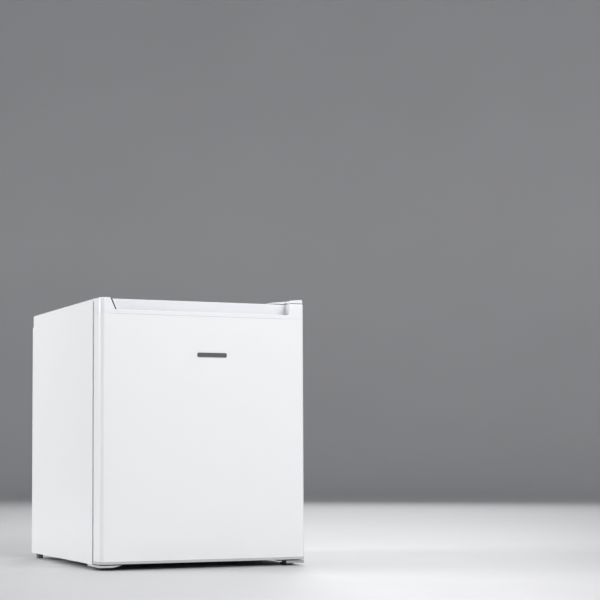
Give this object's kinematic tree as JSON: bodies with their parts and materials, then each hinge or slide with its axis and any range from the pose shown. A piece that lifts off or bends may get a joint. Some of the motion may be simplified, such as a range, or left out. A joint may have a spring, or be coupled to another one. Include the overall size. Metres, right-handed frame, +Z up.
{
  "type": "mini fridge",
  "caption": "Compact cube refrigerator with a right-hinged door, grip trough, ice box, shelf and sealed cooling circuit.",
  "frame": {"origin": "middle of the footprint, on the floor that the feet stand on", "axes": "+Z up, -Y out of the door towards the user, +X to the hinge side"},
  "size_m": [0.429, 0.492, 0.53],
  "materials": {
    "cabinet_paint": "satin",
    "zinc_sheet": "satin",
    "bracket_paint": "satin",
    "screw_steel": "satin",
    "foam": "matte",
    "liner_plastic": "gloss",
    "cap_plastic": "satin",
    "trim_plastic": "satin",
    "gasket_rubber": "matte",
    "bush_plastic": "satin",
    "badge": "satin",
    "bin_plastic": "gloss",
    "shelf_glass": "gloss",
    "shelf_trim": "satin",
    "ice_aluminium": "satin",
    "ice_plastic": "gloss",
    "control_plastic": "satin",
    "switch_case": "matte",
    "foot_rubber": "matte",
    "black_rubber": "matte",
    "black_enamel": "satin",
    "copper": "satin"
  },
  "bodies": {
    "cabinet": {"back_panel": "zinc_sheet", "back_panel_screws": "screw_steel", "base_pan": "zinc_sheet", "bracket_screws_bottom": "screw_steel", "capillary_line": "copper", "compressor": "black_enamel", "compressor_base": "zinc_sheet", "compressor_bolts": "screw_steel", "compressor_grommets": "black_rubber", "condenser_bracket_screws": "screw_steel", "condenser_brackets": "switch_case", "condenser_tube": "black_enamel", "condenser_wires": "black_enamel", "cord_inlet_grommet": "black_rubber", "discharge_line": "copper", "filter_drier": "copper", "front_left_foot_bracket": "trim_plastic", "hinge_bracket_bottom": "bracket_paint", "hinge_bracket_top": "zinc_sheet", "hinge_cover_top": "cap_plastic", "hinge_hole_plugs": "cap_plastic", "hinge_screws_top": "screw_steel", "ice_box": "ice_aluminium", "ice_box_frame": "ice_plastic", "ice_box_screws": "screw_steel", "ice_box_spacers": "ice_plastic", "inner_liner": "liner_plastic", "insulation_foam": "foam", "outer_shell": "cabinet_paint", "pipe_seal": "black_rubber", "rear_feet": "foot_rubber", "recess_panel": "zinc_sheet", "relay_cover": "switch_case", "starter_relay": "switch_case", "suction_line": "copper", "thermostat_housing": "control_plastic", "thermostat_sensor_line": "copper", "thermostat_switch": "switch_case", "threaded_inserts": "zinc_sheet"},
    "door": {"door_skin": "cabinet_paint", "door_top_cap": "cap_plastic", "door_bottom_cap": "trim_plastic", "door_foam": "foam", "door_liner": "liner_plastic", "door_gasket": "gasket_rubber", "door_bush_top": "bush_plastic", "door_bush_bottom": "bush_plastic", "badge_plate": "badge"},
    "door_bin_lower": {"door_bin_lower": "bin_plastic"},
    "door_bin_upper": {"door_bin_upper": "bin_plastic"},
    "ice_box_flap": {"ice_box_flap": "ice_plastic"},
    "thermostat_knob": {"thermostat_knob": "control_plastic"},
    "shelf": {"shelf_glass": "shelf_glass", "shelf_front_trim": "shelf_trim", "shelf_rear_trim": "shelf_trim"},
    "drip_tray": {"drip_tray": "bin_plastic"},
    "front_left_foot": {"front_left_foot_glide": "foot_rubber", "front_left_foot_stud": "screw_steel"},
    "front_right_foot": {"front_right_foot_glide": "foot_rubber", "front_right_foot_stud": "screw_steel"}
  },
  "joints": [
    {"name": "door_hinge", "type": "hinge", "parent": "cabinet", "child": "door", "pos_m": [0.199, -0.225, 0.266], "axis": [0, 0, 1], "range_deg": [0, 130]},
    {"name": "door_bin_lower_lift", "type": "slide", "parent": "door", "child": "door_bin_lower", "axis": [0, 0, 1], "range_m": [0, 0.02]},
    {"name": "door_bin_upper_lift", "type": "slide", "parent": "door", "child": "door_bin_upper", "axis": [0, 0, 1], "range_m": [0, 0.02]},
    {"name": "ice_box_flap_hinge", "type": "hinge", "parent": "cabinet", "child": "ice_box_flap", "pos_m": [-0.04, -0.0505, 0.474], "axis": [-1, 0, 0], "range_deg": [0, 85]},
    {"name": "thermostat_knob_turn", "type": "hinge", "parent": "cabinet", "child": "thermostat_knob", "pos_m": [0.134, -0.054, 0.436], "axis": [0, 1, 0], "range_deg": [0, 300]},
    {"name": "shelf_slide", "type": "slide", "parent": "cabinet", "child": "shelf", "axis": [0, -1, 0], "range_m": [0, 0.06]},
    {"name": "drip_tray_slide", "type": "slide", "parent": "cabinet", "child": "drip_tray", "axis": [0, -1, 0], "range_m": [0, 0.06]},
    {"name": "front_left_foot_turn", "type": "hinge", "parent": "cabinet", "child": "front_left_foot", "pos_m": [-0.198, -0.19, 0], "axis": [0, 0, 1], "range_deg": [-1080, 1080]},
    {"name": "front_right_foot_turn", "type": "hinge", "parent": "cabinet", "child": "front_right_foot", "pos_m": [0.198, -0.19, 0], "axis": [0, 0, 1], "range_deg": [-1080, 1080]}
  ]
}
